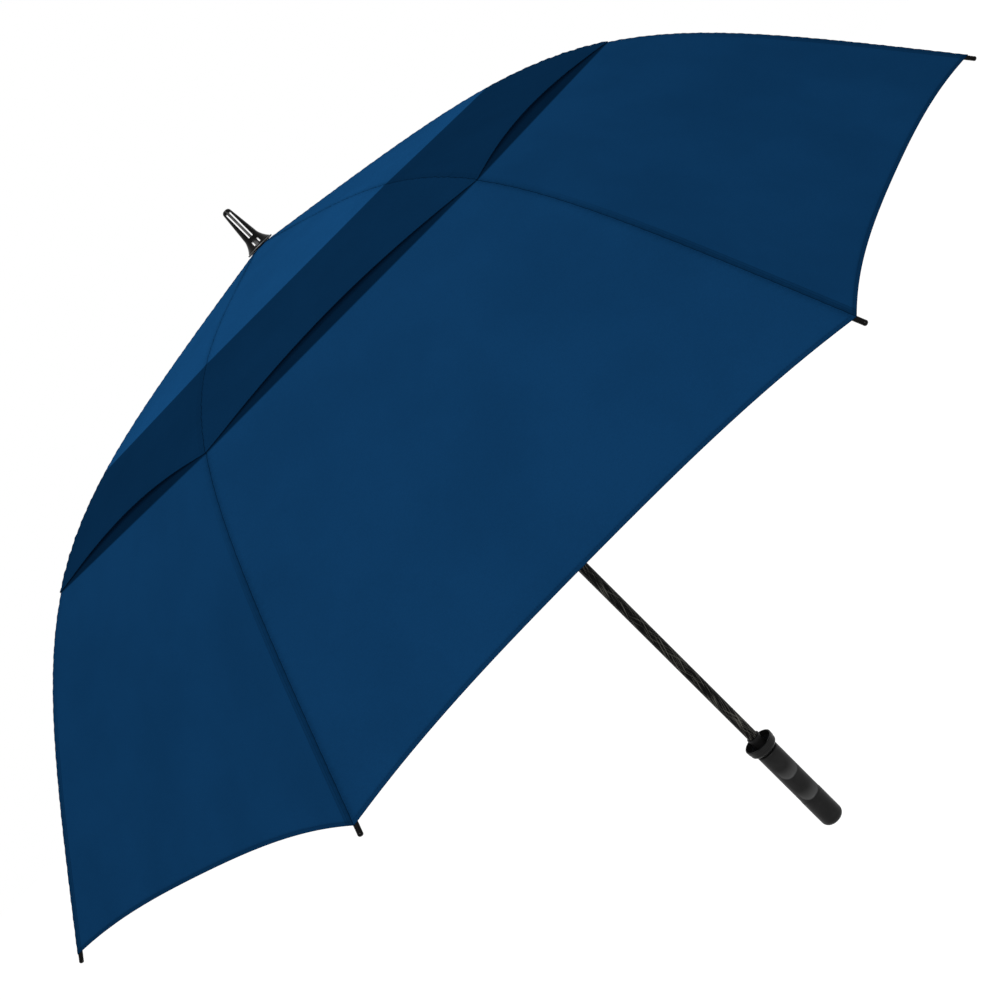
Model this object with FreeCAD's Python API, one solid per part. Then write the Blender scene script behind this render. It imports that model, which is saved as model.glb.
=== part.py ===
"""Golf umbrella with a vented double canopy, modelled open, in millimetres.

+Z runs up the shaft from the rounded end of the handle, where the origin is, to the spike on top.
Eight ribs stand at 22.5 degrees and every 45 degrees after that, measured from +X about +Z.
Each rib is drawn in the XZ plane, as if it pointed along +X, and then turned to its place.
"""
import FreeCAD, Part
import math
import os

V = FreeCAD.Vector
UP = V(0, 0, 1)
ACROSS = V(0, 1, 0)

# canopy and ribs
RIB_COUNT = 8
FIRST_RIB_DEG = 22.5
HALF_GORE_DEG = 180.0 / RIB_COUNT
SEAM_START_R = 18.0
SEAM_START_Z = 959.6
SEAM_LENGTH = 760.0
SLOPE_AT_CROWN_DEG = 8.6
SLOPE_AT_TIP_DEG = 50.7
BEND_MIDDLE_S = 392.6
BEND_SPREAD_S = 71.6
FABRIC_THICKNESS = 0.6
LOWER_CANOPY_DROP = 1.0
UPPER_CANOPY_START_S = -8.0
UPPER_CANOPY_END_S = 413.0
LOWER_CANOPY_START_S = 284.0
HEM_SCALLOP = 11.0
UPPER_HEM_SCALLOP = 14.0
HEM_SAG = 13.7
HEM_ROUNDNESS = 3.3
SAG_GROWTH = 1.5

# ribs and stretchers
RIB_R = 1.75
RIB_DROP = 4.0
TIP_R = 2.25
TIP_LENGTH = 25.0
TIP_BEYOND_FABRIC = 9.0
TIP_SOCKET_DEPTH = 9.0
FLEX_S = 350.0
FLEX_DROP = 5.5
BRACKET_REACH = 7.0
STRETCHER_R = 1.5
EYE_R = 2.6
THIN_BLADE = 1.6
THICK_BLADE = 2.6
BLADE_HEIGHT = 3.4
BLADE_LENGTH = 9.5
RIVET_R = 1.0
RIVET_GAP = 0.06
CHEEK_GAP = 3.2
CHEEK_T = 1.2
CHEEK_R = 3.0

# crown, runner and the wire rings that the blades turn on
PIVOT_R = 11.5
CROWN_PIVOT_Z = 952.5
RING_WIRE_R = 0.8
RING_HOLE_R = 0.9
HUB_R = 14.5
HUB_SLOT_W = 2.2
HUB_SLOT_INNER_R = 8.7
RUNNER_BORE_R = 7.08
RUNNER_SLEEVE_R = 10.2
RUNNER_GRIP_R = 12.2
RUNNER_BELOW = 44.0
BUTTON_BELOW = 22.0
BUTTON_SIZE = (7.0, 3.2, 15.0)
BUTTON_OUT_R = 12.0
BUTTON_GAP = 0.3
BUTTON_TRAVEL = 1.0

# folded pose
FOLDED_BRACKET_R = 14.0
FOLDED_TIP_R = 15.5

# shaft, handle and spike
SHAFT_R = 7.0
SHAFT_BORE_R = 5.4
SHAFT_BOTTOM_Z = 16.0
SHAFT_TOP_Z = 960.9
GRIP_R = 15.0
GRIP_UPPER_R = 14.7
GRIP_BAND_TOP_Z = 46.0
GRIP_BORE_R = 11.0
GRIP_TOP_Z = 127.0
GRIP_END_ROUND = 8.0
GRIP_TOP_ROUND = 1.5
SCOOP_STEPS_Z = (86.0, 48.0)
SCOOP_DEPTH = 2.2
SCOOP_HEIGHT = 30.0
SCOOP_TURN_DEG = 4.0
CUP_BASE_Z = 129.5
CUP_RIM_Z = 143.0
CUP_RIM_R = 19.5
CUP_WALL = 1.6
SLEEVE_R = 8.25
SLEEVE_TOP_Z = 152.5
DISC_R = 17.5
DISC_Z = 961.4
DISC_T = 1.2
SPIKE_TOP_Z = 1014.0
SPIKE_FOOT_R = 15.5
SPIKE_RIM_T = 1.0
SPIKE_WAIST_R = 9.1
SPIKE_WAIST_ABOVE = 12.5
SPIKE_NOSE_R = 4.8
LONG_SLOT_X = 2.2
LONG_SLOT_W = 1.6
LONG_SLOT_H = 34.0
LONG_SLOT_ABOVE = 12.5
SHORT_SLOT_X = 3.6
SHORT_SLOT_W = 1.8
SHORT_SLOT_H = 4.8
SHORT_SLOT_ABOVE = 2.4
SPIGOT_R = 5.3


def build_seam():
    """Points of the sewn seam over a rib, one each millimetre along it, as (r, z)."""
    def slope(s):
        share = 1.0 / (1.0 + math.exp(-(s - BEND_MIDDLE_S) / BEND_SPREAD_S))
        return math.radians(SLOPE_AT_CROWN_DEG + (SLOPE_AT_TIP_DEG - SLOPE_AT_CROWN_DEG) * share)

    points = {0: (SEAM_START_R, SEAM_START_Z, slope(0))}
    for s in range(1, int(SEAM_LENGTH) + 21):
        r, z, _ = points[s - 1]
        middle = slope(s - 0.5)
        points[s] = (r + math.cos(middle), z - math.sin(middle), slope(s))
    for s in range(-1, -13, -1):
        r, z, _ = points[s + 1]
        middle = slope(s + 0.5)
        points[s] = (r - math.cos(middle), z + math.sin(middle), slope(s))
    return points


SEAM = build_seam()


def seam(s, lift=0.0):
    """(r, z) at arc length s along the seam, moved out from the fabric by lift."""
    low = math.floor(s)
    share = s - low
    a, b = SEAM[low], SEAM[low + 1]
    r, z, slope = (a[i] + (b[i] - a[i]) * share for i in range(3))
    return r + lift * math.sin(slope), z + lift * math.cos(slope)


def plane_point(rz):
    return V(rz[0], 0, rz[1])


def azimuth(k):
    return FIRST_RIB_DEG + k * 360.0 / RIB_COUNT


def turned(shape, degrees):
    copy = shape.copy()
    copy.rotate(V(0, 0, 0), UP, degrees)
    return copy


# linkage, in the plane of a rib. CROWN_PIVOT, BRACKET_PIVOT and RUNNER_PIVOT make a triangle with
# two equal sides, so the runner stays on the shaft when the stretcher turns back twice as far as
# the rib turns down.
CROWN_PIVOT = V(PIVOT_R, 0, CROWN_PIVOT_Z)
FLEX_PIVOT = plane_point(seam(FLEX_S, -FLEX_DROP))
FOLD_GUESS = math.radians(77.0)
BRACKET_PIVOT = FLEX_PIVOT - V(math.cos(FOLD_GUESS), 0, math.sin(FOLD_GUESS)) * BRACKET_REACH
LINK = (BRACKET_PIVOT - CROWN_PIVOT).Length
OPEN_ANGLE = math.atan2(BRACKET_PIVOT.x - PIVOT_R, CROWN_PIVOT_Z - BRACKET_PIVOT.z)
FOLDED_ANGLE = math.asin((FOLDED_BRACKET_R - PIVOT_R) / LINK)
RIB_FOLD_DEG = math.degrees(OPEN_ANGLE - FOLDED_ANGLE)
RUNNER_PIVOT = V(PIVOT_R, 0, CROWN_PIVOT_Z - 2 * LINK * math.cos(OPEN_ANGLE))
RUNNER_TRAVEL = 2 * LINK * (math.cos(FOLDED_ANGLE) - math.cos(OPEN_ANGLE))


def folded(point, pivot, degrees):
    """A point of the rib's plane after it turns down about pivot."""
    a = math.radians(degrees)
    x, z = point.x - pivot.x, point.z - pivot.z
    return V(pivot.x + x * math.cos(a) + z * math.sin(a), 0, pivot.z + z * math.cos(a) - x * math.sin(a))


def outer_rib_fold_deg():
    """How far the outer rib turns down in all, so that its tip ends beside the shaft."""
    flex = folded(FLEX_PIVOT, CROWN_PIVOT, RIB_FOLD_DEG)
    reach = plane_point(seam(SEAM_LENGTH + TIP_BEYOND_FABRIC, -RIB_DROP)) - FLEX_PIVOT
    angle_now = math.atan2(reach.x, -reach.z)
    angle_folded = math.asin((FOLDED_TIP_R - flex.x) / reach.Length)
    return math.degrees(angle_now - angle_folded)


FLEX_FOLD_DEG = outer_rib_fold_deg() - RIB_FOLD_DEG


def cylinder(radius, start, end):
    way = end - start
    return Part.makeCylinder(radius, way.Length, start, way)


def cross_cylinder(radius, centre, width):
    """A cylinder across the rib's plane, centred on it."""
    return Part.makeCylinder(radius, width, centre - ACROSS * (width / 2), ACROSS)


def bar(start, end, height, width):
    """A flat bar in the rib's plane from start to end."""
    way = (end - start).normalize()
    side = way.cross(ACROSS) * (height / 2)
    edge = ACROSS * (width / 2)
    corners = [start + side - edge, end + side - edge, end - side - edge, start - side - edge]
    face = Part.Face(Part.makePolygon(corners + corners[:1]))
    return face.extrude(ACROSS * width)


def blade(pivot, towards, length, thickness, hole_r):
    """The flat end of a rib or stretcher: an eye round the pivot and an arm to the rod."""
    end = pivot + (towards - pivot).normalize() * length
    solid = cross_cylinder(EYE_R, pivot, thickness).fuse(bar(pivot, end, BLADE_HEIGHT, thickness))
    return solid, cross_cylinder(hole_r, pivot, thickness + 2)


def rod(points, radius):
    """A round rod along a smooth curve through the points."""
    curve = Part.BSplineCurve()
    curve.interpolate(points)
    start = curve.value(curve.FirstParameter)
    heading = curve.tangent(curve.FirstParameter)[0]
    ring = Part.Wire([Part.Circle(start, heading, radius).toShape()])
    return Part.Wire([curve.toShape()]).makePipeShell([ring], True, False)


def revolved(outline):
    """A solid turned about Z from (r, z) corners."""
    face = Part.Face(Part.makePolygon([plane_point(p) for p in outline + outline[:1]]))
    return face.revolve(V(0, 0, 0), UP, 360)


def tube(outer_r, inner_r, low_z, high_z):
    outer = cylinder(outer_r, V(0, 0, low_z), V(0, 0, high_z))
    return outer.cut(cylinder(inner_r, V(0, 0, low_z - 1), V(0, 0, high_z + 1)))


def inner_rib():
    rib_end = plane_point(seam(FLEX_S - 7, -RIB_DROP))
    first = plane_point(seam(60, -RIB_DROP))
    root, hole = blade(CROWN_PIVOT, first, BLADE_LENGTH, THIN_BLADE, RING_HOLE_R)
    rod_start = CROWN_PIVOT + (first - CROWN_PIVOT).normalize() * (BLADE_LENGTH - 0.5)
    middle = [plane_point(seam(s, -RIB_DROP)) for s in (60, 120, 180, 240, 295)]
    return root.fuse(rod([rod_start] + middle + [rib_end], RIB_R)).cut(hole).removeSplitter()


def outer_rib():
    start_s, end_s = FLEX_S + BLADE_LENGTH, SEAM_LENGTH + TIP_BEYOND_FABRIC - TIP_LENGTH + TIP_SOCKET_DEPTH
    stations = [start_s + (end_s - start_s) * i / 7 for i in range(8)]
    points = [plane_point(seam(s, -RIB_DROP)) for s in stations]
    root, hole = blade(FLEX_PIVOT, points[0], BLADE_LENGTH + 1, THICK_BLADE, RIVET_R + RIVET_GAP)
    return root.fuse(rod(points, RIB_R)).cut(hole).removeSplitter()


def rib_tip():
    """The cap on the end of a rib: a blind socket, a rounded nose and three grip rings."""
    nose = plane_point(seam(SEAM_LENGTH + TIP_BEYOND_FABRIC, -RIB_DROP))
    foot = plane_point(seam(SEAM_LENGTH + TIP_BEYOND_FABRIC - TIP_LENGTH, -RIB_DROP))
    way = (nose - foot).normalize()
    cap = cylinder(TIP_R, foot, nose)
    cap = cap.makeFillet(TIP_R * 0.8, [e for e in cap.Edges if e.CenterOfMass.distanceToPoint(nose) < 0.01])
    cap = cap.cut(cylinder(RIB_R + 0.05, foot - way, foot + way * (TIP_SOCKET_DEPTH + 0.2)))
    for i in range(3):
        at = nose - way * (3.4 + 1.5 * i)
        ring = cylinder(TIP_R + 1, at, at + way * 0.5).cut(cylinder(TIP_R - 0.25, at, at + way * 0.5))
        cap = cap.cut(ring)
    return cap


def rivet(pivot):
    """A riveted pin with a head at each end."""
    shank = cross_cylinder(RIVET_R, pivot, CHEEK_GAP + 2 * CHEEK_T)
    for side in (-1, 1):
        head_start = pivot + ACROSS * side * (CHEEK_GAP / 2 + CHEEK_T)
        shank = shank.fuse(cylinder(RIVET_R * 1.7, head_start, head_start + ACROSS * side * 0.5))
    return shank


def rib_bracket():
    """The joiner on a rib: a socket for the inner rib and two cheeks for the hinge rivets."""
    near, far = (plane_point(seam(FLEX_S - d, -RIB_DROP)) for d in (20, 6))
    low = far - near
    below = V(low.z, 0, -low.x).normalize()
    socket = cylinder(3.2, near + below, far + below)
    body = socket
    for side in (-1, 1):
        shift = ACROSS * side * (CHEEK_GAP + CHEEK_T) / 2
        cheek = cross_cylinder(CHEEK_R, FLEX_PIVOT + shift, CHEEK_T)
        cheek = cheek.fuse(cross_cylinder(CHEEK_R, BRACKET_PIVOT + shift, CHEEK_T))
        cheek = cheek.fuse(bar(FLEX_PIVOT + shift, BRACKET_PIVOT + shift, 2 * CHEEK_R, CHEEK_T))
        cheek = cheek.fuse(bar(far + below - (far - near) * 0.3 + shift, FLEX_PIVOT + shift, 4.4, CHEEK_T))
        body = body.fuse(cheek)
    body = body.cut(rod([plane_point(seam(FLEX_S - d, -RIB_DROP)) for d in (30, 15, 1)], RIB_R + 0.1))
    body = body.cut(cross_cylinder(RIVET_R + 0.02, FLEX_PIVOT, 20))
    body = body.cut(cross_cylinder(RIVET_R + 0.02, BRACKET_PIVOT, 20))
    return Part.makeCompound([body.removeSplitter(), rivet(FLEX_PIVOT), rivet(BRACKET_PIVOT)])


def stretcher():
    way = (RUNNER_PIVOT - BRACKET_PIVOT).normalize()
    top, top_hole = blade(BRACKET_PIVOT, RUNNER_PIVOT, BLADE_LENGTH, THICK_BLADE, RIVET_R + RIVET_GAP)
    foot, foot_hole = blade(RUNNER_PIVOT, BRACKET_PIVOT, BLADE_LENGTH, THIN_BLADE, RING_HOLE_R)
    inset = way * (BLADE_LENGTH - 0.5)
    body = cylinder(STRETCHER_R, BRACKET_PIVOT + inset, RUNNER_PIVOT - inset)
    return body.fuse([top, foot]).cut(top_hole.fuse(foot_hole)).removeSplitter()


def slotted(hub, pivot_z, low_z, high_z):
    """A hub with a slot for each blade and a groove for the wire ring they turn on."""
    for k in range(RIB_COUNT):
        slot = Part.makeBox(20, HUB_SLOT_W, high_z - low_z, V(HUB_SLOT_INNER_R, -HUB_SLOT_W / 2, low_z))
        hub = hub.cut(turned(slot, azimuth(k)))
    groove_half = RING_WIRE_R + 0.05
    return hub.cut(tube(HUB_R + 5, PIVOT_R - groove_half, pivot_z - groove_half, pivot_z + groove_half))


def crown():
    z = CROWN_PIVOT_Z
    outline = [(SHAFT_R, z - 8), (HUB_R - 1, z - 8), (HUB_R, z - 7)]
    outline += [(HUB_R, z + 4), (HUB_R - 1.2, z + 5.2), (SHAFT_R, z + 5.2)]
    return slotted(revolved(outline), z, z - 9, z + 3.4).cut(crown_pin_hole())


def crown_pin_hole():
    return cylinder(1.03, V(-20, 0, CROWN_PIVOT_Z - 5), V(20, 0, CROWN_PIVOT_Z - 5))


def crown_pin():
    return cylinder(1.0, V(-HUB_R, 0, CROWN_PIVOT_Z - 5), V(HUB_R, 0, CROWN_PIVOT_Z - 5))


def wire_ring(z):
    return Part.makeTorus(PIVOT_R, RING_WIRE_R, V(0, 0, z), UP)


def runner():
    z = RUNNER_PIVOT.z
    foot = z - RUNNER_BELOW
    outline = [(RUNNER_BORE_R, foot), (RUNNER_GRIP_R - 0.8, foot), (RUNNER_GRIP_R, foot + 0.8)]
    outline += [(RUNNER_GRIP_R, foot + 3), (RUNNER_SLEEVE_R, foot + 6)]
    outline += [(RUNNER_SLEEVE_R, z - 8), (HUB_R, z - 4.6), (HUB_R, z + 3.2)]
    outline += [(HUB_R - 0.8, z + 4), (RUNNER_BORE_R, z + 4)]
    body = slotted(revolved(outline), z, z - 3.4, z + 10)
    width, _, height = BUTTON_SIZE
    gap = BUTTON_GAP
    corner = V(-width / 2 - gap, -20, z - BUTTON_BELOW - height / 2 - gap)
    return body.cut(Part.makeBox(width + 2 * gap, 20 - 1, height + 2 * gap, corner))


def runner_button():
    width, depth, height = BUTTON_SIZE
    corner = V(-width / 2, -BUTTON_OUT_R, RUNNER_PIVOT.z - BUTTON_BELOW - height / 2)
    body = Part.makeBox(width, depth, height, corner)
    outside = [e for e in body.Edges if e.BoundBox.YMax < -BUTTON_OUT_R + 0.01]
    return body.makeFillet(0.9, outside)


def button_spring():
    """A bowed leaf between the shaft and the button."""
    z = RUNNER_PIVOT.z - BUTTON_BELOW
    face_y = -(BUTTON_OUT_R - BUTTON_SIZE[1]) + 0.1
    low, high, t = z - 5.5, z + 5.5, 0.3
    foot_y = -SHAFT_R - 0.5
    outer = Part.Arc(V(0, foot_y, low), V(0, face_y, z), V(0, foot_y, high)).toShape()
    inner = Part.Arc(V(0, foot_y + t, high), V(0, face_y + t, z), V(0, foot_y + t, low)).toShape()
    ends = [Part.makeLine(V(0, foot_y, high), V(0, foot_y + t, high))]
    ends.append(Part.makeLine(V(0, foot_y + t, low), V(0, foot_y, low)))
    face = Part.Face(Part.Wire([outer, ends[0], inner, ends[1]]))
    leaf = face.extrude(V(3, 0, 0))
    leaf.translate(V(-1.5, 0, 0))
    return leaf


def scoop(step_z):
    """A finger recess that deepens downwards and ends in a rounded step."""
    tilt = math.degrees(math.atan2(SCOOP_DEPTH, SCOOP_HEIGHT))
    block = Part.makeBox(26, 20, SCOOP_HEIGHT + 20, V(-13, -20, 0))
    corners = [e for e in block.Edges if abs(e.BoundBox.ZMax) < 0.01 and e.BoundBox.YLength > 19]
    corners = [e for e in corners if abs(abs(e.BoundBox.XMin) - 13) < 0.01]
    block = block.makeFillet(9, corners)
    block.rotate(V(0, 0, 0), V(1, 0, 0), tilt)
    block.translate(V(0, -(GRIP_R - SCOOP_DEPTH), step_z))
    return turned(block, SCOOP_TURN_DEG)


def handle_grip():
    """The rubber grip: a plain band at the bottom, and a slightly thinner part with the scoops."""
    shoulder = GRIP_R - GRIP_UPPER_R
    outline = [(0, 0), (GRIP_R, 0), (GRIP_R, GRIP_BAND_TOP_Z)]
    outline += [(GRIP_UPPER_R, GRIP_BAND_TOP_Z + shoulder), (GRIP_UPPER_R, GRIP_TOP_Z), (0, GRIP_TOP_Z)]
    solid = revolved(outline)
    end = [e for e in solid.Edges if e.BoundBox.ZMax < 0.01 and e.BoundBox.XLength > GRIP_R]
    solid = solid.makeFillet(GRIP_END_ROUND, end)
    top = [e for e in solid.Edges if e.BoundBox.ZMin > GRIP_TOP_Z - 0.01 and e.BoundBox.XLength > GRIP_R]
    solid = solid.makeFillet(GRIP_TOP_ROUND, top)
    solid = solid.cut(cylinder(GRIP_BORE_R, V(0, 0, 5), V(0, 0, GRIP_TOP_Z + 1)))
    for step_z in SCOOP_STEPS_Z:
        solid = solid.cut(scoop(step_z))
    return solid


def handle_core():
    """The moulded insert that joins the grip to the shaft."""
    solid = cylinder(GRIP_BORE_R - 0.05, V(0, 0, 5.1), V(0, 0, CUP_BASE_Z))
    return solid.cut(cylinder(SHAFT_R, V(0, 0, SHAFT_BOTTOM_Z), V(0, 0, CUP_BASE_Z + 1)))


def shaft_plug():
    """The stopper that closes the shaft's lower end."""
    return cylinder(SHAFT_BORE_R - 0.05, V(0, 0, SHAFT_BOTTOM_Z), V(0, 0, SHAFT_BOTTOM_Z + 14))


def handle_cup():
    """The flared cup over the grip, open upwards."""
    bore = SLEEVE_R + 0.05
    outline = [(bore, CUP_BASE_Z), (GRIP_R, CUP_BASE_Z), (GRIP_R + 1.2, CUP_BASE_Z + 0.8)]
    outline += [(CUP_RIM_R - 1.3, CUP_BASE_Z + 3), (CUP_RIM_R - 0.9, CUP_BASE_Z + 4)]
    outline += [(CUP_RIM_R - 0.9, CUP_RIM_Z - 6), (CUP_RIM_R - 0.2, CUP_RIM_Z - 5.4)]
    outline += [(CUP_RIM_R, CUP_RIM_Z - 0.5), (CUP_RIM_R - 0.5, CUP_RIM_Z)]
    outline += [(CUP_RIM_R - CUP_WALL, CUP_RIM_Z), (CUP_RIM_R - CUP_WALL - 0.6, CUP_RIM_Z - 7)]
    outline += [(GRIP_R - 2, CUP_BASE_Z + 4.5), (bore, CUP_BASE_Z + 4)]
    return revolved(outline)


def shaft_sleeve():
    """The short collar round the shaft inside the cup."""
    outline = [(SHAFT_R, CUP_BASE_Z), (SLEEVE_R, CUP_BASE_Z), (SLEEVE_R, SLEEVE_TOP_Z - 1.2)]
    outline += [(SLEEVE_R + 0.5, SLEEVE_TOP_Z - 0.8), (SLEEVE_R + 0.5, SLEEVE_TOP_Z - 0.3)]
    outline += [(SLEEVE_R, SLEEVE_TOP_Z), (SHAFT_R, SLEEVE_TOP_Z)]
    return revolved(outline)


def shaft_tube():
    return tube(SHAFT_R, SHAFT_BORE_R, SHAFT_BOTTOM_Z, SHAFT_TOP_Z).cut(crown_pin_hole())


def spike_disc():
    disc = tube(DISC_R, SPIGOT_R + 0.1, DISC_Z, DISC_Z + DISC_T)
    rim = [e for e in disc.Edges if abs(e.BoundBox.XMax - DISC_R) < 0.01 and e.BoundBox.ZMin > DISC_Z + 1]
    return disc.makeFillet(0.5, rim)


def spike_foot(base):
    """The concave flare at the foot of the spike, down to its thin rim."""
    rim = V(SPIKE_FOOT_R, 0, base + SPIKE_RIM_T)
    waist = V(SPIKE_WAIST_R, 0, base + SPIKE_WAIST_ABOVE)
    middle = V(SPIKE_WAIST_R + 2.6, 0, base + SPIKE_WAIST_ABOVE / 2)
    side = Part.Arc(rim, middle, waist).toShape()
    path = [waist, V(2, 0, waist.z), V(2, 0, base), V(SPIKE_FOOT_R, 0, base), rim]
    edges = [side] + [Part.makeLine(a, b) for a, b in zip(path, path[1:])]
    return Part.Face(Part.Wire(edges)).revolve(V(0, 0, 0), UP, 360)


def top_spike():
    """The spike on top: a flared foot, a slim cone and two pairs of slots right through it."""
    base = DISC_Z + DISC_T
    waist_z = base + SPIKE_WAIST_ABOVE
    solid = Part.makeCone(SPIKE_WAIST_R, SPIKE_NOSE_R, SPIKE_TOP_Z - waist_z, V(0, 0, waist_z))
    nose_edge = [e for e in solid.Edges if e.BoundBox.ZMin > SPIKE_TOP_Z - 0.01]
    solid = solid.makeFillet(SPIKE_NOSE_R * 0.8, nose_edge)
    solid = solid.fuse(spike_foot(base))
    solid = solid.fuse(cylinder(SPIGOT_R, V(0, 0, CROWN_PIVOT_Z - 8), V(0, 0, waist_z)))
    for side in (-1, 1):
        long_x = side * LONG_SLOT_X - LONG_SLOT_W / 2
        short_x = side * SHORT_SLOT_X - SHORT_SLOT_W / 2
        solid = solid.cut(Part.makeBox(LONG_SLOT_W, 40, LONG_SLOT_H, V(long_x, -20, base + LONG_SLOT_ABOVE)))
        solid = solid.cut(Part.makeBox(SHORT_SLOT_W, 40, SHORT_SLOT_H, V(short_x, -20, base + SHORT_SLOT_ABOVE)))
    return solid.cut(crown_pin_hole()).removeSplitter()


def gore_point(s, across, lift):
    """A point of the gore round +X. across runs from -1 at one rib to 1 at the other."""
    r, z = seam(s, lift)
    half = math.radians(HALF_GORE_DEG)
    sag = HEM_SAG * max(s / SEAM_LENGTH, 0.0) ** SAG_GROWTH * (1 - across * across)
    return V(r * math.cos(half) - sag, r * math.sin(half) * across, z)


def gore_grid(start_s, end_s, scallop, lift):
    """Rows of points from the inner edge to the scalloped hem."""
    across_steps = [-1 + 2 * j / 8 for j in range(9)]
    rows = []
    for i in range(10):
        row = []
        for across in across_steps:
            hem_s = end_s - scallop * (1 - abs(across) ** HEM_ROUNDNESS)
            row.append(gore_point(start_s + (hem_s - start_s) * i / 9, across, lift))
        rows.append(row)
    return rows


def surface(rows):
    face = Part.BSplineSurface()
    face.interpolate(rows)
    return face.toShape()


def canopy(start_s, end_s, scallop, lift):
    """A thin closed skin of eight gores, with a hole at the crown end."""
    outer = surface(gore_grid(start_s, end_s, scallop, lift + FABRIC_THICKNESS / 2))
    inner = surface(gore_grid(start_s, end_s, scallop, lift - FABRIC_THICKNESS / 2))
    rims = [Part.makeRuledSurface(a, b) for a, b in zip(outer.Edges, inner.Edges)]
    shell = Part.makeCompound([outer, inner] + rims)
    shell.sewShape(0.01)
    gore = Part.Solid(shell.Shells[0])
    if gore.Volume < 0:
        gore.reverse()
    gores = [turned(gore, azimuth(k) + HALF_GORE_DEG) for k in range(RIB_COUNT)]
    return gores[0].multiFuse(gores[1:])


def write(name, shape):
    shape.exportStep(os.path.join("parts", name + ".step"))
    print(name, round(shape.Volume), shape.isValid(), len(shape.Solids))


def main():
    os.makedirs("parts", exist_ok=True)
    write("shaft_tube", shaft_tube())
    write("shaft_plug", shaft_plug())
    write("handle_core", handle_core())
    write("handle_grip", handle_grip())
    write("handle_cup", handle_cup())
    write("shaft_sleeve", shaft_sleeve())
    write("crown", crown())
    write("crown_ring", wire_ring(CROWN_PIVOT_Z))
    write("crown_pin", crown_pin())
    write("spike_disc", spike_disc())
    write("top_spike", top_spike())
    write("runner", runner())
    write("runner_ring", wire_ring(RUNNER_PIVOT.z))
    write("runner_button", runner_button())
    write("button_spring", button_spring())
    write("canopy_upper", canopy(UPPER_CANOPY_START_S, UPPER_CANOPY_END_S, UPPER_HEM_SCALLOP, 0.0))
    write("canopy_lower", canopy(LOWER_CANOPY_START_S, SEAM_LENGTH, HEM_SCALLOP, -LOWER_CANOPY_DROP))
    makers = {"rib_inner": inner_rib, "rib_outer": outer_rib, "rib_tip": rib_tip}
    makers.update({"rib_bracket": rib_bracket, "stretcher": stretcher})
    for name, make in makers.items():
        shape = make()
        for k in range(RIB_COUNT):
            write(f"{name}_{k + 1}", turned(shape, azimuth(k)))


main()
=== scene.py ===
"""Golf umbrella: its cloth, grip, finishes, light and camera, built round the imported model.

The cloth is made of strips that ride on the ribs. Each gore has two halves, and each half hangs on
its own rib, so the cloth closes up on the ribs when the umbrella folds. Lengths here are in
millimetres, as the seam's formula is, until place() or make_grip() turns them into metres.
"""
import math

import bpy
import numpy as np
from mathutils import Matrix, Vector


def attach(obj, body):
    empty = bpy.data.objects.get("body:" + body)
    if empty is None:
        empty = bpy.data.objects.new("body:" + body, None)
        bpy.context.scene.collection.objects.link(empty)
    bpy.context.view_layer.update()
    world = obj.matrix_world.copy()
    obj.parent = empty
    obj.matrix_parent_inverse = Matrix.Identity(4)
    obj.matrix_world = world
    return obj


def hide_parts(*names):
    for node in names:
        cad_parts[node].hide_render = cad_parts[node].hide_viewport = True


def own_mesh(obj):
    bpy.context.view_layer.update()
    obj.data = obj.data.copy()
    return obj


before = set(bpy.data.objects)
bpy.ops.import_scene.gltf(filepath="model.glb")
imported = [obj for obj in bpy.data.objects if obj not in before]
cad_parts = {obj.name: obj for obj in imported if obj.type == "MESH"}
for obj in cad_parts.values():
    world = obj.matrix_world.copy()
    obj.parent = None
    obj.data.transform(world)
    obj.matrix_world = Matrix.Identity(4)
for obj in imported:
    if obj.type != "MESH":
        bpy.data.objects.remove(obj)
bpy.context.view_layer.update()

MM = 0.001
RIB_COUNT = 8
FIRST_RIB = math.radians(22.5)
HALF_GORE = math.radians(180.0 / RIB_COUNT)

# the sewn seam over a rib: a curve whose slope grows smoothly along its length
SEAM_START_R, SEAM_START_Z = 18.0, 959.6
SEAM_LENGTH = 760.0
CROWN_SLOPE, TIP_SLOPE = math.radians(8.6), math.radians(50.7)
BEND_MIDDLE, BEND_SPREAD = 392.6, 71.6
FLEX_S = 350.0

# the two skins: where each ends along the seam, and how far it lies off the seam's curve
UPPER = {"end": 413.0, "lift": 0.0, "scallop": 15.0, "roundness": 2.0, "vent": 4.0}
LOWER = {"end": SEAM_LENGTH, "lift": -1.0, "scallop": 11.0, "roundness": 3.3, "vent": 0.0}
VENT_START = 284.0
HEM_SAG, SAG_GROWTH = 13.7, 1.5
# each row of the folded hem: how far past the edge, how deep, and how far the cloth has turned
HEM_FOLD = ((0.5, -0.25, 50.0), (0.55, -0.75, 130.0), (0.0, -1.0, 180.0), (-3.0, -0.9, 180.0))
WELT = 4.0
WELT_COLUMNS = np.array((4.0, 3.1, 2.3, 1.6, 1.0, 0.5, 0.0))
HEM_ALLOWANCE = 9.0
ROW_STEP = 2.5
GORE_COLUMNS, COLUMN_GROWTH = 26, 1.6

# the parts of each skin: where each starts and ends along the seam, the body it rides on, the CAD node
# it stands for, and the share of its width that it keeps when the umbrella is folded
SEGMENTS = {
    "upper_inner": dict(
        skin=UPPER, start=-8.0, end=FLEX_S, body="rib", node="canopy_upper", keep=0.21,
    ),
    "upper_hem": dict(
        skin=UPPER, start=FLEX_S, end=UPPER["end"], body="rib_end", node="canopy_upper", keep=0.14,
    ),
    "lower_inner": dict(
        skin=LOWER, start=VENT_START, end=FLEX_S, body="rib", node="canopy_lower", keep=0.14,
    ),
    "lower_outer": dict(
        skin=LOWER, start=FLEX_S, end=LOWER["end"], body="rib_end", node="canopy_lower", keep=0.115,
    ),
}

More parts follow.
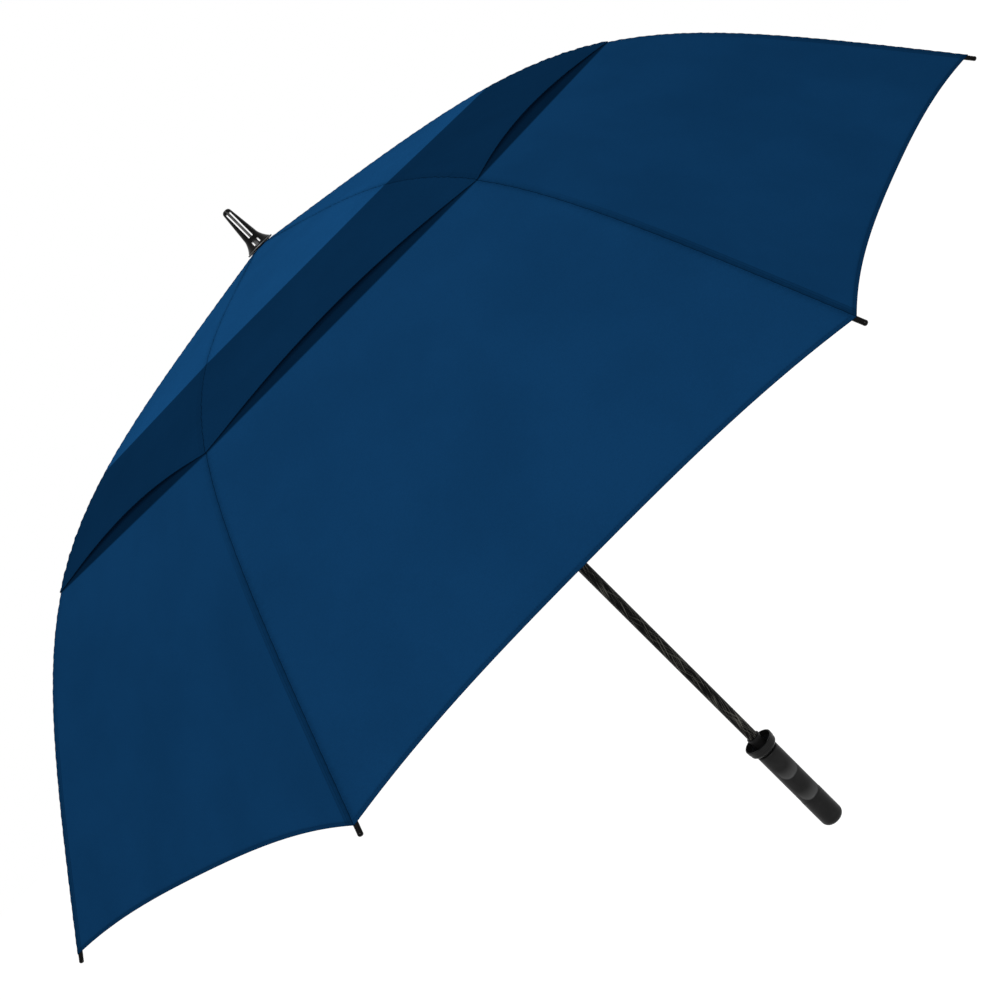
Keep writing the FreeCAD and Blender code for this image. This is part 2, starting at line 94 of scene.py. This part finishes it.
GRIP_R, GRIP_UPPER_R, GRIP_BAND_TOP = 15.0, 14.7, 46.0
GRIP_TOP, GRIP_END_ROUND, GRIP_TOP_ROUND = 127.0, 8.0, 1.5
GRIP_ROWS, GRIP_COLUMNS = 190, 120
GRIP_END_RING = 0.55
SCOOP_STEPS = (86.0, 48.0)
SCOOP_DEPTH, SCOOP_HEIGHT, SCOOP_HALF_WIDTH, SCOOP_CORNER = 1.7, 31.0, 16.5, 11.0
SCOOP_STEP_WIDTH, SCOOP_LIP, SCOOP_RISE, SCOOP_SIDE = 0.8, 0.5, 6.0, 9.0
# how far above a scoop's step its painted highlight reaches, in mm
SCOOP_HIGHLIGHT_REACH = 16.0
SCOOP_AZIMUTH = math.radians(-79.0)


# --- the shape of the cloth -------------------------------------------------------------------

def seam_curve():
    """Stations along the seam, one each millimetre: s, r, z and slope."""
    before = 16
    s = np.arange(-float(before), SEAM_LENGTH + 24.0)

    def slope(at):
        return CROWN_SLOPE + (TIP_SLOPE - CROWN_SLOPE) / (1 + np.exp(-(at - BEND_MIDDLE) / BEND_SPREAD))

    middle = slope(s[:-1] + 0.5)
    r = np.concatenate([[0], np.cumsum(np.cos(middle))])
    z = -np.concatenate([[0], np.cumsum(np.sin(middle))])
    return s, r - r[before] + SEAM_START_R, z - z[before] + SEAM_START_Z, slope(s)


SEAM_S, SEAM_R, SEAM_Z, SEAM_SLOPE = seam_curve()


def rib_azimuth(k):
    return FIRST_RIB + k * 2 * HALF_GORE


def half_width(s):
    """Half the gore's width at s, from the rib to mid gore."""
    return np.interp(s, SEAM_S, SEAM_R) * math.sin(HALF_GORE)


def pucker(s, v, seed):
    """Small waves that the stitching pulls into the cloth beside a seam."""
    wave = np.sin(2 * math.pi * s / 8.5 + 1.7 * np.sin(s / 23.0 + seed))
    wave = wave + 0.6 * np.sin(s / 3.1 + 2.3 * seed)
    distance = (1 - v) * half_width(s)
    at_vent = np.exp(-(((s - UPPER["end"] + 40.0) / 45.0) ** 2))
    reach = 7.0 + 9.0 * at_vent
    return (0.15 + 0.2 * at_vent) * wave * np.exp(-((distance / reach) ** 2)) * np.clip(v, 0, 1) ** 2


def welt(distance):
    """The seam's cross section: a raised fold each side of the stitched groove."""
    return 0.2 * np.exp(-(((distance - 1.5) / 1.0) ** 2)) - 0.15 * np.exp(-((distance / 0.5) ** 2))


def vent_lift(skin, s, v):
    """How far a skin stands off, growing towards its hem and towards mid gore."""
    share = np.clip((s - VENT_START) / (UPPER["end"] - VENT_START), 0, 1.2)
    return skin["vent"] * share ** 2 * np.clip(1 - v * v, 0, 1) ** 1.5


def place(k, side, s, v, lift):
    """Points of the half gore on one side of rib k, in metres. v is 1 on the rib and 0 mid gore."""
    slope = np.interp(s, SEAM_S, SEAM_SLOPE)
    r = np.interp(s, SEAM_S, SEAM_R) + lift * np.sin(slope)
    z = np.interp(s, SEAM_S, SEAM_Z) + lift * np.cos(slope)
    sag = HEM_SAG * np.clip(s / SEAM_LENGTH, 0, None) ** SAG_GROWTH * (1 - v * v)
    x = r * math.cos(HALF_GORE) - sag
    y = -side * r * math.sin(HALF_GORE) * v
    turn = rib_azimuth(k) + side * HALF_GORE
    points = [x * math.cos(turn) - y * math.sin(turn), x * math.sin(turn) + y * math.cos(turn), z]
    return np.stack(points, -1) * MM


def skin_point(skin, k, side, s, v):
    distance = (1 - v) * half_width(s)
    lift = skin["lift"] + vent_lift(skin, s, v) + pucker(s, v, 1.3 * k) + welt(distance)
    return place(k, side, s, v, lift)


def unit(vectors):
    return vectors / np.linalg.norm(vectors, axis=-1, keepdims=True)


def skin_frame(skin, k, side, s, v):
    """The cloth's outward normal and its direction away from the crown, from its own surface."""
    ds, dv = 0.4, 0.002
    along = skin_point(skin, k, side, s + ds, v) - skin_point(skin, k, side, s - ds, v)
    across = skin_point(skin, k, side, s, np.clip(v + dv, -1, 1)) - skin_point(skin, k, side, s, v - dv)
    return unit(-side * np.cross(along, across)), unit(along)


def hem_line(skin, v):
    return skin["end"] - skin["scallop"] * (1 - np.abs(v) ** skin["roundness"])


def gore_columns(side):
    """Places across a half gore, from the welt's edge to mid gore, closer together near the seam."""
    share = np.linspace(0, 1, GORE_COLUMNS) ** COLUMN_GROWTH

    def v_at(s):
        return (1 - share) * (1 - WELT / half_width(s))

    return side, v_at


def welt_columns(side):
    """Places across one side of the welt, from its edge to the stitched line."""

    def v_at(s):
        return 1 - WELT_COLUMNS / half_width(s)

    return side, v_at


def cloth_block(skin, k, start, end, side, v_at):
    """Points, normals and pattern numbers of one side of one segment, row by row from the crown."""
    has_hem = end >= skin["end"]
    last = hem_line(skin, v_at(end)) if has_hem else np.full(v_at(end).shape, end)
    rows = int(round((end - start) / ROW_STEP)) + 1
    s = start + (last - start) * np.linspace(0, 1, rows)[:, None]
    v = v_at(s)
    points = skin_point(skin, k, side, s, v)
    normals, along = skin_frame(skin, k, side, s, v)
    distance = (1 - v) * half_width(s)
    to_hem = last - s if skin["end"] == end else np.full(s.shape, skin["end"]) - s
    if has_hem:
        edge = points[-1:], normals[-1:], along[-1:]
        for past, depth, turn in HEM_FOLD:
            angle = math.radians(turn)
            points = np.concatenate([points, edge[0] + (edge[2] * past + edge[1] * depth) * MM])
            normals = np.concatenate([normals, edge[1] * math.cos(angle) + edge[2] * math.sin(angle)])
            s = np.concatenate([s, s[rows - 1:rows] + past])
            distance = np.concatenate([distance, distance[rows - 1:rows]])
            to_hem = np.concatenate([to_hem, np.full((1, to_hem.shape[1]), -past)])
    sideways = half_width(s) - distance
    is_lower = np.full(s.shape, float(skin is LOWER))
    layers = {"along": s, "across": distance, "to_hem": to_hem, "sideways": sideways, "is_lower": is_lower}
    return points, normals, layers


def mesh_object(name, points, faces, layers=None, normals=None):
    """A smooth mesh piece. layers are named numbers for each point, which its material reads."""
    mesh = bpy.data.meshes.new(name)
    mesh.from_pydata(np.asarray(points).reshape(-1, 3).tolist(), [], faces)
    for layer, values in (layers or {}).items():
        attribute = mesh.attributes.new(layer, "FLOAT", "POINT")
        attribute.data.foreach_set("value", np.ascontiguousarray(values, np.float32).reshape(-1))
    mesh.shade_smooth()
    if normals is not None:
        mesh.normals_split_custom_set_from_vertices(np.asarray(normals).reshape(-1, 3).tolist())
    piece = bpy.data.objects.new(name, mesh)
    bpy.context.scene.collection.objects.link(piece)
    return piece


def grid_faces(rows, columns):
    """Faces of a grid whose rows go away from the crown and whose columns go anticlockwise."""
    faces = []
    for i in range(rows - 1):
        for j in range(columns - 1):
            a = i * columns + j
            faces.append((a, a + columns, a + columns + 1, a + 1))
    return faces


def join_sides(blocks):
    """One grid from the blocks on the two sides of a rib, whose last columns are the same line."""
    left, right = blocks
    points = np.concatenate([left[0], right[0][:, -2::-1]], axis=1)
    normals = np.concatenate([left[1], right[1][:, -2::-1]], axis=1)
    layers = {name: np.concatenate([left[2][name], right[2][name][:, -2::-1]], axis=1) for name in left[2]}
    return points, unit(normals), layers


def surface_area(points):
    """Area of a grid of points, in square metres."""
    first = np.cross(points[1:, :-1] - points[:-1, :-1], points[:-1, 1:] - points[:-1, :-1])
    second = np.cross(points[1:, 1:] - points[1:, :-1], points[1:, 1:] - points[:-1, 1:])
    return float(np.linalg.norm(first, axis=-1).sum() + np.linalg.norm(second, axis=-1).sum()) / 2


def has_allowance(k, side):
    """Every second gore has the seams' spare cloth folded under it; its shadow is painted on the cloth."""
    return (k + (1 + side) // 2) % 2 == 1


def add_cloth(piece, k, part, fabric):
    """Hang a piece of cloth on rib k and give it its material."""
    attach(piece, f"{part['body']}_{k + 1}")
    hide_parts(part["node"])
    piece.data.materials.append(fabric)


def make_welt(k, segment, fabric):
    """The seam's folded strip over one rib, which stays stiff on the rib."""
    part = SEGMENTS[segment]
    left = cloth_block(part["skin"], k, part["start"], part["end"], *welt_columns(-1))
    right = cloth_block(part["skin"], k, part["start"], part["end"], *welt_columns(1))
    points, normals, layers = join_sides((left, right))
    spare = [has_allowance(k, -1)] * len(WELT_COLUMNS) + [has_allowance(k, 1)] * (len(WELT_COLUMNS) - 1)
    layers["spare_cloth_shade"] = np.broadcast_to(np.array(spare, float), points.shape[:2])
    piece = mesh_object(f"seam_{segment}_{k + 1}", points, grid_faces(*points.shape[:2]), layers, normals)
    add_cloth(piece, k, part, fabric)
    return piece


def make_half_gore(k, side, segment, fabric):
    """The cloth from one rib's welt to mid gore, over one segment of the rib."""
    part = SEGMENTS[segment]
    start, end = part["start"], part["end"]
    points, normals, layers = cloth_block(part["skin"], k, start, end, *gore_columns(side))
    layers["spare_cloth_shade"] = np.full(points.shape[:2], float(has_allowance(k, side)))
    if side < 0:
        points, normals = points[:, ::-1], normals[:, ::-1]
        layers = {name: values[:, ::-1] for name, values in layers.items()}
    name = f"cloth_{segment}_{k + 1}_{'right' if side < 0 else 'left'}"
    piece = mesh_object(name, points, grid_faces(*points.shape[:2]), layers, normals)
    add_cloth(piece, k, part, fabric)
    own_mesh(piece)
    width, length = half_width(end) * MM, (end - start + HEM_ALLOWANCE) * MM
    min(surface_area(points), width * length)


def make_canopy(fabric):
    for k in range(RIB_COUNT):
        for segment in SEGMENTS:
            seam = make_welt(k, segment, fabric)
            for side in (-1, 1):
                make_half_gore(k, side, segment, fabric)


# --- the grip ---------------------------------------------------------------------------------

def grip_profile(z):
    """Radius of the plain grip at height z."""
    low = np.clip(GRIP_END_ROUND - z, 0, GRIP_END_ROUND)
    high = np.clip(z - (GRIP_TOP - GRIP_TOP_ROUND), 0, GRIP_TOP_ROUND)
    shoulder = np.clip(z - GRIP_BAND_TOP, 0, GRIP_R - GRIP_UPPER_R)
    r = GRIP_R - shoulder - GRIP_END_ROUND + np.sqrt(GRIP_END_ROUND ** 2 - low ** 2)
    return r - GRIP_TOP_ROUND + np.sqrt(GRIP_TOP_ROUND ** 2 - high ** 2)


def scoop(azimuth, z, step):
    """Depth of one finger scoop, and the share of painted highlight on its rubber just above the step.

    A scoop is a small U-shaped step that is deepest a little above its edge and fades out upwards.
    """
    turn = (azimuth - SCOOP_AZIMUTH + math.pi) % (2 * math.pi) - math.pi
    sideways = np.abs(turn) * GRIP_R
    corner = np.clip(sideways - (SCOOP_HALF_WIDTH - SCOOP_CORNER), 0, SCOOP_CORNER)
    floor = step + SCOOP_CORNER - np.sqrt(SCOOP_CORNER ** 2 - corner ** 2)
    above = z - floor
    step_up = np.clip(above / SCOOP_STEP_WIDTH + 0.5, 0, 1)
    rise = np.clip(above / SCOOP_RISE, 0, 1)
    spoon = SCOOP_LIP + (1 - SCOOP_LIP) * np.sin(rise * math.pi / 2)
    fade = np.clip(1 - (above - SCOOP_RISE) / (step + SCOOP_HEIGHT - floor - SCOOP_RISE), 0, 1)
    inside = np.clip((SCOOP_HALF_WIDTH - sideways) / SCOOP_SIDE, 0, 1)
    depth = SCOOP_DEPTH * step_up * spoon * fade ** 1.4 * inside * inside * (3 - 2 * inside)
    # painted highlight: the rubber is made lighter just above each step, fading upwards
    scoop_highlight = step_up * np.clip(1 - above / SCOOP_HIGHLIGHT_REACH, 0, 1) ** 1.5
    return depth, scoop_highlight * np.clip(SCOOP_HALF_WIDTH - sideways, 0, 1)


def grip_surface():
    """Points of the grip, ring by ring from its lower end, and the share of painted highlight at each."""
    rounds = np.linspace(0, math.pi / 2, 9)
    foot = GRIP_END_ROUND * (1 - np.cos(rounds))
    head = GRIP_TOP - GRIP_TOP_ROUND * (1 - np.sin(rounds))
    z = np.concatenate([foot, np.linspace(GRIP_END_ROUND, head[0], GRIP_ROWS)[1:-1], head])[:, None]
    azimuth = np.linspace(0, 2 * math.pi, GRIP_COLUMNS, endpoint=False)[None, :]
    scoops = [scoop(azimuth, z, step) for step in SCOOP_STEPS]
    r = grip_profile(z) - sum(depth for depth, scoop_highlight in scoops)
    points = np.stack([r * np.cos(azimuth), r * np.sin(azimuth), z + 0 * azimuth], -1)
    inner_ring = (GRIP_END_RING, GRIP_END_RING, 1.0)
    points = np.concatenate([points[:1] * inner_ring, points, points[-1:] * inner_ring])
    no_highlight = np.zeros((1, GRIP_COLUMNS))
    return points, np.concatenate([no_highlight, sum(scoop_highlight for depth, scoop_highlight in scoops), no_highlight])


def grip_faces(rings):
    """Faces between the grip's rings, and the fans round the two centres that close its ends."""
    faces = []
    for i in range(rings - 1):
        for j in range(GRIP_COLUMNS):
            a = i * GRIP_COLUMNS + j
            b = i * GRIP_COLUMNS + (j + 1) % GRIP_COLUMNS
            faces.append((a, b, b + GRIP_COLUMNS, a + GRIP_COLUMNS))
    last = (rings - 1) * GRIP_COLUMNS
    bottom_centre = rings * GRIP_COLUMNS
    for j in range(GRIP_COLUMNS):
        after = (j + 1) % GRIP_COLUMNS
        faces.append((after, j, bottom_centre))
        faces.append((last + j, last + after, bottom_centre + 1))
    return faces


def make_grip(rubber):
    """The rubber grip with its finger scoops, in place of the plain grip."""
    rings, scoop_highlight = grip_surface()
    centres = [(0.0, 0.0, 0.0), (0.0, 0.0, GRIP_TOP)]
    points = np.concatenate([rings.reshape(-1, 3), centres])
    layers = {"scoop_highlight": np.append(scoop_highlight, (0.0, 0.0))}
    piece = mesh_object("grip", points * MM, grip_faces(len(rings)), layers)
    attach(piece, "shaft")
    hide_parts("handle_grip")
    piece.data.materials.append(rubber)


# --- finishes ---------------------------------------------------------------------------------

class Finish:
    """A material and short ways to add nodes to it."""

    def __init__(self, name):
        self.material = bpy.data.materials.new(name)
        self.material.use_nodes = True
        self.tree = self.material.node_tree
        self.shader = self.tree.nodes["Principled BSDF"]

    def add(self, kind, inputs, **settings):
        made = self.tree.nodes.new(kind)
        for name, value in settings.items():
            setattr(made, name, value)
        self.set(made, inputs)
        return made

    def set(self, node, inputs):
        for key, value in inputs.items():
            if isinstance(value, bpy.types.NodeSocket):
                self.tree.links.new(value, node.inputs[key])
            else:
                node.inputs[key].default_value = value

    def sum(self, operation, first, second=0.0, third=0.0):
        return self.add("ShaderNodeMath", {0: first, 1: second, 2: third}, operation=operation).outputs[0]

    def read(self, name):
        return self.add("ShaderNodeAttribute", {}, attribute_name=name).outputs["Fac"]

    def ease(self, value, low, high, at_low=0.0, at_high=1.0):
        """at_low where value is low, at_high where it is high, smoothly between them."""
        inputs = {"Value": value, 1: low, 2: high, 3: at_low, 4: at_high}
        return self.add("ShaderNodeMapRange", inputs, interpolation_type="SMOOTHSTEP").outputs[0]

    def blend(self, share, first, second, kind="MIX"):
        node = self.add("ShaderNodeMix", {}, data_type="RGBA", blend_type=kind)
        self.set(node, {0: share, 6: first, 7: second})
        return node.outputs[2]

    def noise(self, scale, detail=2.0, roughness=0.5):
        """Noise in the object's own coordinates, in metres; scale is in waves each metre."""
        where = self.add("ShaderNodeTexCoord", {}).outputs["Object"]
        inputs = {"Vector": where, "Scale": scale, "Detail": detail, "Roughness": roughness}
        return self.add("ShaderNodeTexNoise", inputs).outputs[0]

    def bump(self, height, distance, strength):
        inputs = {"Height": height, "Distance": distance, "Strength": strength}
        return self.add("ShaderNodeBump", inputs).outputs[0]

    def darken(self, shade, share, depth):
        """shade, made depth darker where share is 1."""
        return self.sum("MULTIPLY", shade, self.sum("MULTIPLY_ADD", share, -depth, 1.0))

    def line(self, value, at, half):
        """1 on a thin line where value is at, and 0 beside it."""
        off = self.sum("ABSOLUTE", self.sum("SUBTRACT", value, at))
        return self.ease(off, half * 0.5, half * 1.5, 1.0, 0.0)


def grey(value):
    return (value, value, value, 1.0)


STITCH_PITCH = 2.6
ALLOWANCE_FOLD, ALLOWANCE_WIDTH = 5.2, 9.2
HEM_STITCH = 2.6
THREAD_PITCH = 0.9
FABRIC = (0.0027, 0.0238, 0.0682, 1.0)
FABRIC_DEEP = (0.0024, 0.0214, 0.0614, 1.0)
# how much darker than plain cloth each feature and each painted shade is, from 0 to 1; below 0 it is
# lighter, as painted light
DARKER = {
    "seam": 0.75,
    "seam_stitch": 0.25,
    # painted shade of the spare cloth seen through the cloth, and of its folded edges
    "spare_cloth_shade": 0.20,
    "spare_cloth_edge_shade": 0.38,
    # painted shade of the folds gathered at the crown
    "crown_fold_shade": 0.35,
    "hem_stitch": 0.30,
    # painted light: the whole upper skin is made lighter
    "upper_skin_painted_light": -0.50,
    # painted shade where the upper skin lies over the lower one
    "overlap_painted_shade": 0.48,
    # painted shade on the lower skin under the upper skin, the vent's gap included
    "vent_gap_painted_shade": 0.70,
}


def stitches(f, distance):
    """1 on each stitch of a stitched line and 0 between stitches, by the distance along the line."""
    return f.ease(f.sum("SINE", f.sum("MULTIPLY", distance, 2 * math.pi / STITCH_PITCH)), -0.3, 0.3)


def seam_shade(f, shade):
    """shade with the seam's groove and stitches, and painted shade of the folds gathered at the crown and of
    the spare cloth under the cloth.
    """
    along, across, spare_cloth_shade = f.read("along"), f.read("across"), f.read("spare_cloth_shade")
    shade = f.darken(shade, f.ease(across, 0.2, 0.55, 1.0, 0.0), DARKER["seam"])
    # painted shade: the spare cloth under every second gore, seen through the cloth as a darker band with
    # darker edges
    band = f.ease(across, ALLOWANCE_WIDTH - 0.4, ALLOWANCE_WIDTH + 0.4, 1.0, 0.0)
    showing = f.sum("MULTIPLY", f.ease(along, 450.0, 640.0, 0.2, 1.0), spare_cloth_shade)
    shade = f.darken(shade, f.sum("MULTIPLY", band, showing), DARKER["spare_cloth_shade"])
    edges = f.sum("MAXIMUM", f.line(across, ALLOWANCE_FOLD, 0.35), f.line(across, ALLOWANCE_WIDTH, 0.35))
    shade = f.darken(shade, f.sum("MULTIPLY", edges, showing), DARKER["spare_cloth_edge_shade"])
    stitch = f.sum("MULTIPLY", f.line(across, 1.5, 0.25), stitches(f, along))
    shade = f.darken(shade, stitch, DARKER["seam_stitch"])
    # painted shade of the folds that the cloth gathers into beside the seams near the crown
    crown_fold_shade = f.sum("MULTIPLY", f.ease(along, 20.0, 120.0, 1.0, 0.0), f.ease(across, 3.0, 15.0, 1.0, 0.0))
    return f.darken(shade, f.sum("MULTIPLY", crown_fold_shade, spare_cloth_shade), DARKER["crown_fold_shade"])


def hem_shade(f, shade):
    """shade with the stitches along the hem."""
    stitch = f.sum("MULTIPLY", f.line(f.read("to_hem"), HEM_STITCH, 0.25), stitches(f, f.read("sideways")))
    return f.darken(shade, stitch, DARKER["hem_stitch"])


def skin_painted_light_and_shade(f, shade):
    """shade with painted light on the upper skin, painted shade where it lies over the lower skin, and
    painted shade on the lower skin under it.
    """
    along, is_lower = f.read("along"), f.read("is_lower")
    is_upper = f.sum("SUBTRACT", 1.0, is_lower)
    under_vent = f.ease(along, UPPER["end"] - 0.5, UPPER["end"] + 2.5, 1.0, 0.0)
    # painted shade on the lower skin wherever the upper skin lies over it, the gap under the vent's hem
    # included
    shade = f.darken(shade, f.sum("MULTIPLY", under_vent, is_lower), DARKER["vent_gap_painted_shade"])
    # painted light: the upper skin made lighter all over
    shade = f.darken(shade, is_upper, DARKER["upper_skin_painted_light"])
    # painted shade on the upper skin where it lies over the lower one
    over_vent = f.ease(along, VENT_START - 0.7, VENT_START + 0.7)
    return f.darken(shade, f.sum("MULTIPLY", over_vent, is_upper), DARKER["overlap_painted_shade"])


def cloth_bump(f):
    """The relief of the plain weave, over broad soft creases."""
    weave = f.sum(
        "MULTIPLY",
        f.sum("SINE", f.sum("MULTIPLY", f.read("along"), 2 * math.pi / THREAD_PITCH)),
        f.sum("SINE", f.sum("MULTIPLY", f.read("across"), 2 * math.pi / THREAD_PITCH)),
    )
    fine = f.bump(weave, 0.00003, 0.6)
    creases = {"Height": f.noise(14.0, 4.0, 0.55), "Distance": 0.0012, "Strength": 0.5, "Normal": fine}
    return f.add("ShaderNodeBump", creases).outputs[0]


def fabric_finish():
    """Navy umbrella cloth: tight weave, stitched seams and hems, painted light and shade on the two skins;
    light glows through it.
    """
    f = Finish("canopy_cloth")
    plain = f.blend(f.ease(f.noise(9.0, 3.0, 0.6), 0.3, 0.7), FABRIC_DEEP, FABRIC)
    thread = f.ease(f.noise(900.0, 1.0), 0.2, 0.8, 0.94, 1.06)
    shade = skin_painted_light_and_shade(f, hem_shade(f, seam_shade(f, thread)))
    shade_colour = f.add("ShaderNodeCombineColor", {0: shade, 1: shade, 2: shade}).outputs[0]
    colour = f.blend(1.0, plain, shade_colour, "MULTIPLY")
    relief = cloth_bump(f)
    f.set(f.shader, {"Base Color": colour, "Roughness": 0.75, "Specular IOR Level": 0.0, "Normal": relief})
    through = f.add("ShaderNodeBsdfTranslucent", {"Color": colour, "Normal": relief})
    mixed = f.add("ShaderNodeMixShader", {0: 0.5, 1: f.shader.outputs[0], 2: through.outputs[0]})
    f.tree.links.new(mixed.outputs[0], f.tree.nodes["Material Output"].inputs[0])
    return f.material


def rubber_finish():
    f = Finish("grip_rubber")
    grain = f.noise(2600.0, 2.0)
    wear = f.noise(60.0, 4.0, 0.6)
    plain = f.blend(f.ease(wear, 0.35, 0.7), grey(0.0040), grey(0.0070))
    f.set(f.shader, {
        # the scoops' painted highlight: lighter rubber just above their steps
        "Base Color": f.blend(f.read("scoop_highlight"), plain, grey(0.045)),
        "Roughness": f.ease(wear, 0.3, 0.7, 0.38, 0.48),
        "Specular IOR Level": 0.10,
        "Normal": f.bump(grain, 0.00012, 0.5),
    })
    return f.material


def plastic_finish(name, shade, roughness, grain_depth, specular):
    f = Finish(name)
    grain = f.noise(1500.0, 3.0)
    streak = f.noise(45.0, 3.0, 0.6)
    f.set(f.shader, {
        "Base Color": f.blend(f.ease(streak, 0.3, 0.7), grey(shade), grey(shade * 1.5)),
        "Roughness": f.ease(streak, 0.25, 0.75, roughness, roughness + 0.12),
        "Specular IOR Level": specular,
        "Normal": f.bump(grain, grain_depth, 0.5),
    })
    return f.material


def shaft_finish():
    """Wound fibreglass under clear lacquer: light streaks on a slow spiral over near black."""
    f = Finish("wound_fibreglass")
    where = f.add("ShaderNodeTexCoord", {}).outputs["Object"]
    xyz = f.add("ShaderNodeSeparateXYZ", {0: where}).outputs
    turn = f.sum("MULTIPLY", f.sum("ARCTAN2", xyz[1], xyz[0]), 7.0)
    height = f.sum("MULTIPLY", xyz[2], 1000.0)
    lean = 0.30

    def strands(sign, spacing):
        """Strands that climb one way round the shaft, spacing in mm."""
        across = f.sum("SUBTRACT", turn, f.sum("MULTIPLY", height, sign * lean))
        spread = f.add("ShaderNodeCombineXYZ", {0: across, 1: f.sum("MULTIPLY", height, 0.03)}).outputs[0]
        inputs = {"Vector": spread, "Scale": 1 / spacing, "Detail": 3.0}
        return f.ease(f.add("ShaderNodeTexNoise", inputs).outputs[0], 0.54, 0.66)

    weave = f.sum("MAXIMUM", strands(1, 1.0), f.sum("MULTIPLY", strands(-1, 1.6), 0.5))
    f.set(f.shader, {
        "Base Color": f.blend(weave, grey(0.0015), (0.085, 0.082, 0.070, 1.0)),
        "Roughness": f.ease(weave, 0.0, 1.0, 0.26, 0.42),
        "Specular IOR Level": 0.04,
        "Normal": f.bump(weave, 0.00005, 0.6),
    })
    return f.material


def rib_finish():
    """Pultruded fibreglass rod: fine lengthwise streaks."""
    f = Finish("rib_fibreglass")
    streak = f.noise(700.0, 2.0, 0.5)
    f.set(f.shader, {
        "Base Color": f.blend(f.ease(streak, 0.3, 0.7), grey(0.010), grey(0.022)),
        "Roughness": f.ease(streak, 0.3, 0.7, 0.35, 0.5),
        "Specular IOR Level": 0.4,
        "Normal": f.bump(streak, 0.00005, 0.5),
    })
    return f.material


def metal_finish(name, shade, roughness, metallic):
    f = Finish(name)
    brushed = f.noise(380.0, 3.0, 0.6)
    f.set(f.shader, {
        "Base Color": f.blend(f.ease(brushed, 0.3, 0.7), grey(shade), grey(shade * 1.25)),
        "Metallic": metallic,
        "Roughness": f.ease(brushed, 0.3, 0.7, roughness, roughness + 0.12),
        "Normal": f.bump(brushed, 0.00003, 0.5),
    })
    return f.material


def assign(names, material):
    for name in names:
        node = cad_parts[name]
        node.data.materials.clear()
        node.data.materials.append(material)


def numbered(*stems):
    return [f"{stem}_{n}" for stem in stems for n in range(1, RIB_COUNT + 1)]


def dress_nodes(rubber):
    assign(["shaft_tube"], shaft_finish())
    assign(numbered("rib_inner", "rib_outer"), rib_finish())
    assign(["top_spike"] + numbered("rib_tip"), plastic_finish("gloss_plastic", 0.001, 0.14, 0.00001, 0.06))
    moulded = ["handle_cup", "shaft_sleeve", "crown", "runner", "runner_button", "shaft_plug", "handle_core"]
    assign(moulded + numbered("rib_bracket"), plastic_finish("moulded_plastic", 0.004, 0.3, 0.00003, 0.10))
    assign(["spike_disc"] + numbered("stretcher"), metal_finish("black_paint", 0.010, 0.35, 0.0))
    assign(["crown_ring", "runner_ring", "crown_pin"], metal_finish("plated_wire", 0.55, 0.22, 1.0))
    assign(["button_spring"], metal_finish("spring_steel", 0.35, 0.3, 1.0))


# --- light, floor and camera ------------------------------------------------------------------

FLOOR_DROP = 2.4
CAMERA_PLACE = Vector((0.0, -1.5224, 0.8768))
CAMERA_SWING = 0.0161
CAMERA_YAW, CAMERA_PITCH, CAMERA_ROLL = 0.0081, -0.1954, -0.7891
LENS = 49.0


def make_camera():
    cy, sy = math.cos(CAMERA_YAW), math.sin(CAMERA_YAW)
    cp, sp = math.cos(CAMERA_PITCH), math.sin(CAMERA_PITCH)
    cr, sr = math.cos(CAMERA_ROLL), math.sin(CAMERA_ROLL)
    upright = Matrix(((1, 0, 0), (0, 0, 1), (0, -1, 0)))
    yaw = Matrix(((cy, sy, 0), (-sy, cy, 0), (0, 0, 1)))
    pitch = Matrix(((1, 0, 0), (0, cp, sp), (0, -sp, cp)))
    roll = Matrix(((cr, sr, 0), (-sr, cr, 0), (0, 0, 1)))
    to_camera = roll @ pitch @ upright @ yaw
    swing = Matrix.Rotation(-CAMERA_SWING, 3, "Z")
    turned = swing @ to_camera.transposed()
    data = bpy.data.cameras.new("camera")
    data.lens = LENS
    data.clip_end = 50.0
    camera = bpy.data.objects.new("camera", data)
    camera.matrix_world = Matrix.Translation(swing @ CAMERA_PLACE) @ turned.to_4x4()
    bpy.context.scene.collection.objects.link(camera)
    bpy.context.scene.camera = camera


def area_light(name, place, size, power, target):
    data = bpy.data.lights.new(name, "AREA")
    data.shape = "DISK"
    data.size = size
    data.energy = power
    light = bpy.data.objects.new(name, data)
    away = Vector(place) - Vector(target)
    light.matrix_world = Matrix.Translation(place) @ away.to_track_quat("Z", "Y").to_matrix().to_4x4()
    bpy.context.scene.collection.objects.link(light)


def make_stage():
    size = 20.0
    corners = [(-size, -size, -FLOOR_DROP), (size, -size, -FLOOR_DROP), (size, size, -FLOOR_DROP),
               (-size, size, -FLOOR_DROP)]
    floor = mesh_object("floor", corners, [(0, 1, 2, 3)])
    f = Finish("floor_white")
    f.set(f.shader, {"Base Color": grey(0.9), "Roughness": 0.9, "Specular IOR Level": 0.0,
                     "Emission Color": grey(1.0), "Emission Strength": 0.15})
    floor.data.materials.append(f.material)
    world = bpy.data.worlds.new("studio")
    world.use_nodes = True
    world.node_tree.nodes["Background"].inputs[0].default_value = grey(1.0)
    world.node_tree.nodes["Background"].inputs[1].default_value = 1.0
    bpy.context.scene.world = world
    area_light("key", (-0.3, -0.6, 3.1), 1.2, 56.0, (0, 0, 0.8))
    area_light("front", (0.0, -2.6, 1.9), 1.0, 62.0, (0, -0.3, 0.7))


cloth_finish = fabric_finish()
grip_finish = rubber_finish()
make_canopy(cloth_finish)
make_grip(grip_finish)
dress_nodes(grip_finish)
make_stage()
make_camera()
bpy.context.scene.view_settings.view_transform = "Standard"
